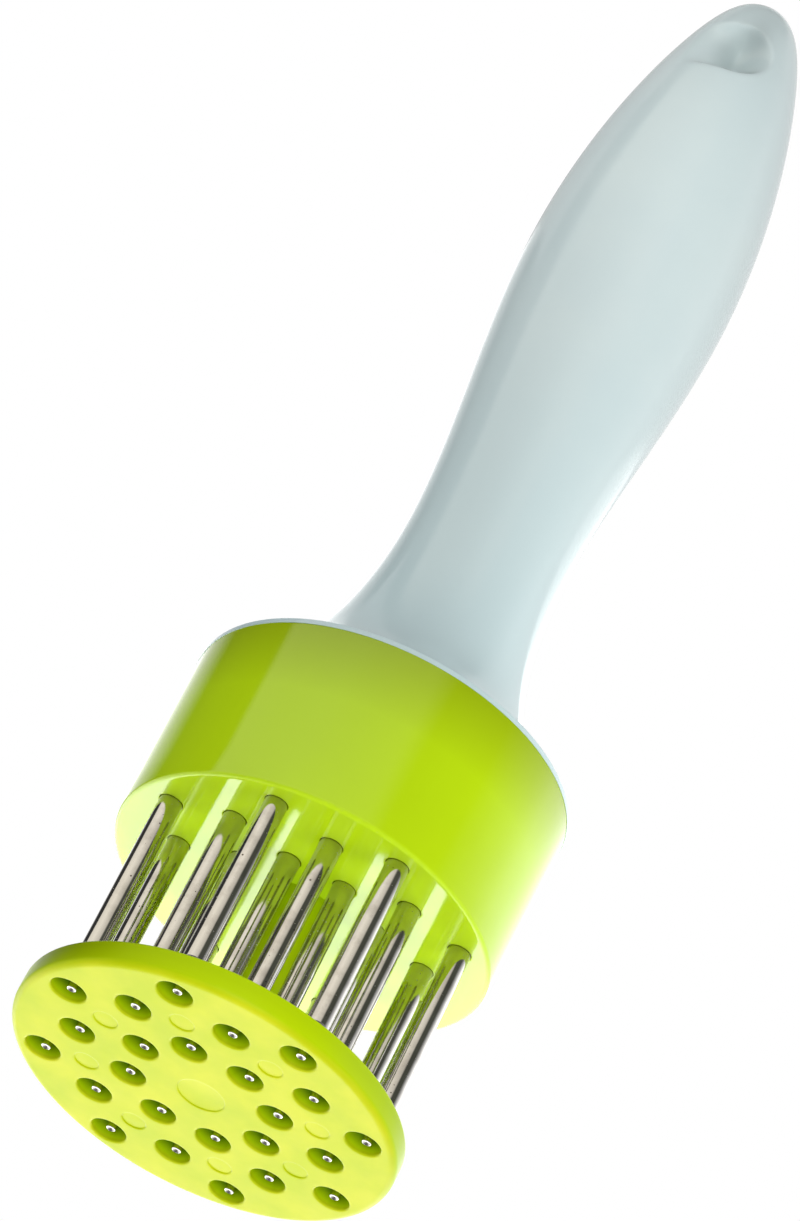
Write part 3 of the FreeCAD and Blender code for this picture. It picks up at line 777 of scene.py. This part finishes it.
def make_guard():
    """Lime guard plate with its 24 holes, moulding marks and central column."""
    low_rim = PLATE_R - PLATE_UNDER_ROUND - FLAT_MARGIN
    high_rim = PLATE_R - PLATE_TOP_ROUND - FLAT_MARGIN
    rim = [(low_rim, 0.0)]
    rim += arc((PLATE_R - PLATE_UNDER_ROUND, PLATE_UNDER_ROUND), PLATE_UNDER_ROUND, -90, 0, 12)
    rim += arc((PLATE_R - PLATE_TOP_ROUND, PLATE_T - PLATE_TOP_ROUND), PLATE_TOP_ROUND, 0, 90, 8)
    rim += [(high_rim, PLATE_T)]
    root = COLUMN_R + COLUMN_ROOT_ROUND
    column = [(root + FLAT_MARGIN, PLATE_T)]
    column += arc((root, PLATE_T + COLUMN_ROOT_ROUND), COLUMN_ROOT_ROUND, 270, 180, 10)
    column += [(COLUMN_R, COLUMN_TOP), (SCREW_HOLE_R, COLUMN_TOP),
               (SCREW_HOLE_R, COLUMN_TOP - SCREW_HOLE_DEPTH), (0, COLUMN_TOP - SCREW_HOLE_DEPTH)]
    dish = gate_dish()
    mesh = turned_mesh("guard_body", [(rim, ROUND_STEPS), (column, HOLE_STEPS), (dish, HOLE_STEPS)])
    hole, hole_low, hole_high = guard_hole()
    wall = linked_object("guard_hole_wall", turned_mesh("guard_hole_wall", [(hole, HOLE_STEPS)]))
    mark = linked_object("guard_mark", turned_mesh("guard_mark", [(moulding_mark(), HOLE_STEPS)]))
    sizes = {**RING_VALUES, "Hole Wall": wall, "Material": lime_guard,
             "Mark": mark, "Mark Ring": MARK_RING, "Mark Rim": moulding_mark()[0][0],
             "Low Rim": low_rim, "Low Middle": dish[0][0], "Low Hole": hole_low, "Low Level": 0.0,
             "High Rim": high_rim, "High Middle": column[0][0], "High Hole": hole_high,
             "High Level": PLATE_T}
    piece = grown("guard_disc", mesh, pierced_tree("pierced_guard", True), sizes)
    bpy.data.objects.remove(wall)
    bpy.data.objects.remove(mark)
    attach(piece, "guard")
    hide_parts("guard_plate")


# ---------------------------------------------------------------------------
# Needles and hidden parts
# ---------------------------------------------------------------------------

def needle_profile():
    """Ground tip with a small cup, slim tapered pin, eased shoulder, shank and head."""
    shoulder = NEEDLE_TIP + PIN_LENGTH
    shank = shoulder + SHOULDER_LENGTH
    floor_top = NEEDLE_HEAD_TOP - NEEDLE_HEAD_T
    cup_top = NEEDLE_TIP + TIP_CUP_DEPTH
    profile = bezier([(0, cup_top), (TIP_CUP_R / 2, cup_top), (TIP_CUP_R, NEEDLE_TIP)], 6)
    profile += arc((TIP_R - TIP_ROUND, NEEDLE_TIP + TIP_ROUND), TIP_ROUND, -90, 0, 5)
    profile += straight(profile[-1], (PIN_R, shoulder), 4)[1:]
    profile += bezier([(PIN_R, shoulder), (PIN_R, shoulder + SHOULDER_EASE),
                       (NEEDLE_R, shank - SHOULDER_EASE), (NEEDLE_R, shank)], 10)[1:]
    profile += straight((NEEDLE_R, shank), (NEEDLE_R, floor_top), 6)[1:]
    profile += [(NEEDLE_HEAD_R, floor_top), (NEEDLE_HEAD_R, NEEDLE_HEAD_TOP), (0, NEEDLE_HEAD_TOP)]
    return profile


def make_needles():
    """All 24 needles, copied from one turned needle onto the three rings."""
    grip = DRUM_LOW + DRUM_FLOOR_T / 2
    mesh = turned_mesh("needle", [(needle_profile(), HOLE_STEPS)])
    mesh.transform(Matrix.Translation((0, 0, -grip)))
    values = {**RING_VALUES, "Grip Height": grip, "Least Lean": LEAST_LEAN, "Most Lean": MOST_LEAN,
              "Lean Seed": LEAN_SEED, "Material": needle_steel}
    piece = grown("needle_set", mesh, needle_tree(), values)
    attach(piece, "tool")
    names = ["needle_%s_%d" % (ring, number) for ring in ("inner", "middle", "outer")
             for number in range(1, RING_COUNT + 1)]
    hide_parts(*names)


def make_spring():
    """Return spring, which shortens towards its seat in the handle as the guard goes up."""
    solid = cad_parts["return_spring"]
    corners = [solid.matrix_world @ vertex.co / MM for vertex in solid.data.vertices]
    mesh = bpy.data.meshes.new("guard_spring")
    mesh.from_pydata(corners, [], [list(face.vertices) for face in solid.data.polygons])
    piece = finished(linked_object("guard_spring", mesh))
    piece.data.materials.append(spring_steel)
    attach(piece, "tool")
    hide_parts("return_spring")
    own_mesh(piece)


def finish_hidden_parts():
    """Materials for the parts inside the drum that keep their own meshes."""
    hidden = {"needle_clamp_disc": pale_disc, "stop_washer": fastener_steel, "stop_screw": fastener_steel}
    for node, material in hidden.items():
        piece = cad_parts[node]
        piece.data.materials.clear()
        piece.data.materials.append(material)


# ---------------------------------------------------------------------------
# Camera, floor, studio and lamps
# ---------------------------------------------------------------------------

CAMERA_TURN = math.radians(23.4)         # round the tool
CAMERA_RISE = math.radians(-32.274)      # below the horizon, looking up
CAMERA_ROLL = math.radians(28.021)
CAMERA_DISTANCE = 0.8179                 # from the guard's underside, along the view
CAMERA_RIGHT = 0.027314                  # aim to the right of the guard's middle
CAMERA_UP = 0.066525                     # and above it, in the picture
FRAME_HEIGHT_PX = 1221
FOCAL_PX = 5967.2
SENSOR_MM = 36.0
CLIP_START = 0.05
CLIP_END = 20.0


def camera_axes():
    """Unit vectors to the right, up and ahead of the camera."""
    ahead = Vector((0, math.cos(CAMERA_RISE), -math.sin(CAMERA_RISE)))
    right = Vector((1, 0, 0))
    up = right.cross(ahead)
    roll_right = math.cos(CAMERA_ROLL) * right + math.sin(CAMERA_ROLL) * up
    roll_up = -math.sin(CAMERA_ROLL) * right + math.cos(CAMERA_ROLL) * up
    turn = Matrix.Rotation(CAMERA_TURN, 3, "Z")
    return turn @ roll_right, turn @ roll_up, turn @ ahead


def make_camera():
    """Long lens from below, in front of the tool and to its right."""
    right, up, ahead = camera_axes()
    data = bpy.data.cameras.new("camera")
    data.sensor_width = SENSOR_MM
    data.lens = FOCAL_PX * SENSOR_MM / FRAME_HEIGHT_PX
    data.clip_start = CLIP_START
    data.clip_end = CLIP_END
    camera = linked_object("camera", data)
    place = CAMERA_RIGHT * right + CAMERA_UP * up - CAMERA_DISTANCE * ahead
    columns = Matrix((right, up, -ahead)).transposed()
    camera.matrix_world = Matrix.Translation(place) @ columns.to_4x4()
    bpy.context.scene.camera = camera


def bearing(turn):
    """Angle about Z of a direction given in degrees from the camera's side, plus to its right."""
    return CAMERA_TURN + math.radians(turn - 90)


def bare_tree(owner):
    """Emptied node tree of a new material or world."""
    owner.use_nodes = True
    owner.node_tree.nodes.clear()
    return owner.node_tree


# Brightness of the studio as polished surfaces see it, by the direction round the tool:
# 0 is towards the camera, plus is to its right, 180 is behind the tool.
WHITE = (1.0, 1.0, 1.0, 1.0)
NEUTRAL = (1.0, 1.0, 1.0)
WARM_WHITE = (1.0, 0.94, 0.82)
GREEN_SHADE = (0.95, 1.0, 0.8)
DARK_FLAG = 0.05
UPPER_STUDIO = [
    (-180, 2.2, NEUTRAL), (-150, 1.0, NEUTRAL), (-140, 0.7, NEUTRAL), (-128, DARK_FLAG, NEUTRAL),
    (-86, DARK_FLAG, NEUTRAL), (-82, 1.2, WARM_WHITE), (-40, 1.35, WARM_WHITE), (8, 0.9, WARM_WHITE),
    (20, 0.11, GREEN_SHADE), (58, 0.11, GREEN_SHADE), (72, 0.45, NEUTRAL), (90, 1.0, NEUTRAL),
    (110, 1.9, NEUTRAL), (140, 2.1, NEUTRAL), (180, 2.2, NEUTRAL),
]
LOWER_STUDIO = [
    (-180, 4.8, NEUTRAL), (-150, 4.2, NEUTRAL), (-110, 1.5, NEUTRAL), (-70, 0.3, NEUTRAL),
    (0, 0.2, WARM_WHITE), (70, 0.4, NEUTRAL), (110, 1.5, NEUTRAL), (150, 4.2, NEUTRAL), (180, 4.8, NEUTRAL),
]
BRIGHTEST = 7.0
HORIZON_BLUR = 0.12          # height on the unit sphere over which the lower ring gives way to the upper
CEILING = 0.3
CEILING_START = 0.75         # heights on the unit sphere between which the ceiling takes over
CEILING_FULL = 0.95
AMBIENT = 0.30


def studio_ring(tree, share, stops):
    """Brightness round the horizon from a list of (degrees, strength, tint)."""
    ramp = add(tree, "ShaderNodeValToRGB", {"Fac": share})
    elements = ramp.color_ramp.elements
    while len(elements) < len(stops):
        elements.new(0.5)
    for element, (degrees, strength, tint) in zip(elements, stops):
        element.position = (degrees + 180) / 360
        element.color = [strength / BRIGHTEST * channel for channel in tint] + [1.0]
    return ramp


def make_world():
    """White to the camera, a ring of softboxes and dark flags to gloss, soft light to the rest."""
    world = bpy.data.worlds.new("studio")
    bpy.context.scene.world = world
    tree = bare_tree(world)
    direction = add(tree, "ShaderNodeTexCoord").outputs["Generated"]
    to_right = (math.cos(CAMERA_TURN), math.sin(CAMERA_TURN), 0)
    to_camera = (math.sin(CAMERA_TURN), -math.cos(CAMERA_TURN), 0)
    across, near = [
        add(tree, "ShaderNodeVectorMath", {0: direction, 1: axis}, operation="DOT_PRODUCT").outputs["Value"]
        for axis in (to_right, to_camera)]
    angle = add(tree, "ShaderNodeMath", {0: across, 1: near}, operation="ARCTAN2")
    share = add(tree, "ShaderNodeMapRange", {"Value": angle, "From Min": -math.pi, "From Max": math.pi})
    height = add(tree, "ShaderNodeSeparateXYZ", {"Vector": direction}).outputs["Z"]
    above = add(tree, "ShaderNodeMapRange",
                {"Value": height, "From Min": -HORIZON_BLUR, "From Max": HORIZON_BLUR})
    walls = add(tree, "ShaderNodeMix",
                {"Factor": above, MIX_A: studio_ring(tree, share, LOWER_STUDIO),
                 MIX_B: studio_ring(tree, share, UPPER_STUDIO)}, data_type="RGBA").outputs[MIXED]
    overhead = add(tree, "ShaderNodeMapRange",
                   {"Value": height, "From Min": CEILING_START, "From Max": CEILING_FULL})
    ceiling = (CEILING / BRIGHTEST,) * 3 + (1.0,)
    studio = add(tree, "ShaderNodeMix", {"Factor": overhead, MIX_A: walls, MIX_B: ceiling},
                 data_type="RGBA").outputs[MIXED]
    path = add(tree, "ShaderNodeLightPath").outputs
    gloss = add(tree, "ShaderNodeBackground", {"Color": studio, "Strength": BRIGHTEST})
    soft = add(tree, "ShaderNodeBackground", {"Color": WHITE, "Strength": AMBIENT})
    plain = add(tree, "ShaderNodeBackground", {"Color": WHITE, "Strength": 1.0})
    seen = add(tree, "ShaderNodeMath", {0: path["Is Camera Ray"], 1: path["Is Transmission Ray"]},
               operation="MAXIMUM")
    lit = add(tree, "ShaderNodeMixShader", {0: path["Is Glossy Ray"], 1: soft, 2: gloss})
    shown = add(tree, "ShaderNodeMixShader", {0: seen, 1: lit, 2: plain})
    add(tree, "ShaderNodeOutputWorld", {"Surface": shown})


FLOOR_SIZE = 3.0             # metres
FLOOR_DROP = 0.0002          # metres below the guard's underside, so that the two faces stay apart
FLOOR_SHADE = 0.45           # brightness of the floor where the tool hides the whole sky from it
SHADE_REACH = 0.12           # how far up, in metres, the tool's painted shadow on the floor reaches
SHADE_SAMPLES = 16


def make_floor():
    """Pale glowing floor under the guard plate. It shows from above only, so that the camera below and the
    light pass it. The tool's soft shadow on it is painted shade: its glow drops where the tool hides the sky
    from it, and the near lamps leave no patch on it."""
    shape = bmesh.new()
    bmesh.ops.create_grid(shape, x_segments=1, y_segments=1, size=FLOOR_SIZE)
    mesh = bpy.data.meshes.new("floor")
    shape.to_mesh(mesh)
    shape.free()
    floor = linked_object("floor", mesh)
    floor.location.z = -FLOOR_DROP
    material = bpy.data.materials.new("glowing_floor_painted_shadow")
    tree = bare_tree(material)
    path = add(tree, "ShaderNodeLightPath").outputs
    back = add(tree, "ShaderNodeNewGeometry").outputs["Backfacing"]
    front = add(tree, "ShaderNodeMath", {0: 1.0, 1: back}, operation="SUBTRACT")
    shown = add(tree, "ShaderNodeMath", {0: path["Is Camera Ray"], 1: front}, operation="MULTIPLY")
    clear = add(tree, "ShaderNodeBsdfTransparent")
    # painted shadow: the floor's glow drops where the tool hides the sky from it
    sky = add(tree, "ShaderNodeAmbientOcclusion", {"Distance": SHADE_REACH}, samples=SHADE_SAMPLES)
    shade = add(tree, "ShaderNodeMapRange", {"Value": sky.outputs["AO"], "To Min": FLOOR_SHADE})
    pale = add(tree, "ShaderNodeEmission", {"Strength": shade})
    mix = add(tree, "ShaderNodeMixShader", {0: shown, 1: clear, 2: pale})
    add(tree, "ShaderNodeOutputMaterial", {"Surface": mix})
    mesh.materials.append(material)


LAMPS = [
    # name, turn from the camera's side (plus is to its right), rise, distance m, size m, aim height m,
    # level on a surface that faces it
    ("low_front", -5, -32, 1.1, 0.55, 0.09, 0.27),
    ("near_left", -50, 10, 0.14, 0.1, 0.145, 0.10),
    ("back_left", -110, 10, 1.1, 0.55, 0.09, 0.20),
    ("low_right", 70, -35, 1.1, 0.55, 0.09, 0.20),
    ("low_back_left", -150, -30, 1.1, 0.55, 0.09, 0.20),
    ("low_back_right", 150, -30, 1.1, 0.55, 0.09, 0.20),
    ("below", 180, -75, 1.1, 0.55, 0.0, 0.50),
    ("through_guard", 0, -90, 0.027, 0.054, 0.0315, 1.70),
    ("near_right", 75, 0, 0.13, 0.12, 0.065, 0.43),
    ("near_guard", -5, 0, 0.08, 0.04, 0.0, 0.13),
    ("near_grip", 6, 15, 0.14, 0.1, 0.17, 0.35),
    ("top_back", 160, 55, 1.1, 0.55, 0.09, 0.15),
]


def make_lamps():
    """Soft round lamps. A disk of this power lights a facing white surface to the given level."""
    for name, turn, rise, distance, size, aim, level in LAMPS:
        data = bpy.data.lights.new(name, "AREA")
        data.shape = "DISK"
        data.size = size
        data.energy = level * (math.pi * distance) ** 2
        lamp = linked_object(name, data)
        lift = math.radians(rise)
        way = Vector((math.cos(bearing(turn)) * math.cos(lift), math.sin(bearing(turn)) * math.cos(lift),
                      math.sin(lift)))
        lamp.location = Vector((0, 0, aim)) + way * distance
        lamp.rotation_euler = way.to_track_quat("Z", "Y").to_euler()
        lamp.visible_glossy = False
        lamp.visible_camera = False


CARDS = [
    # name, turn, distance m, lower and upper edge m, width m, brightness, whether it stops soft light
    ("right_card", 140, 0.15, 0.21, 0.50, 0.30, 0.9, False),
    ("left_card", -150, 0.15, 0.26, 0.50, 0.30, 0.6, False),
    ("rim_card", -64, 0.035, 0.003, 0.024, 0.030, 0.0, True),
    ("dimple_card", -1, 0.0156, 0.1940, 0.2030, 0.0038, 0.0, True),
]


def make_cards():
    """Upright grey cards that show in gloss only and keep the bright back light off the upper grip,
    and black ones that keep soft light off the guard's left edge and out of the dimple."""
    for name, turn, distance, low, high, width, brightness, stops_light in CARDS:
        mesh = bpy.data.meshes.new(name)
        corners = [(-width / 2, 0, low), (width / 2, 0, low), (width / 2, 0, high), (-width / 2, 0, high)]
        mesh.from_pydata(corners, [], [(0, 1, 2, 3)])
        card = linked_object(name, mesh)
        card.location = (distance * math.cos(bearing(turn)), distance * math.sin(bearing(turn)), 0)
        card.rotation_euler = (0, 0, bearing(turn) + math.pi / 2)
        material = bpy.data.materials.new(name)
        tree = bare_tree(material)
        glow = add(tree, "ShaderNodeEmission", {"Strength": brightness})
        add(tree, "ShaderNodeOutputMaterial", {"Surface": glow})
        mesh.materials.append(material)
        card.visible_camera = card.visible_transmission = False
        card.visible_diffuse = card.visible_shadow = stops_light
        card.visible_glossy = not stops_light


make_handle()
make_drum()
make_guard()
make_needles()
make_spring()
finish_hidden_parts()
make_camera()
make_world()
make_floor()
make_lamps()
make_cards()
bpy.context.scene.view_settings.view_transform = "Standard"
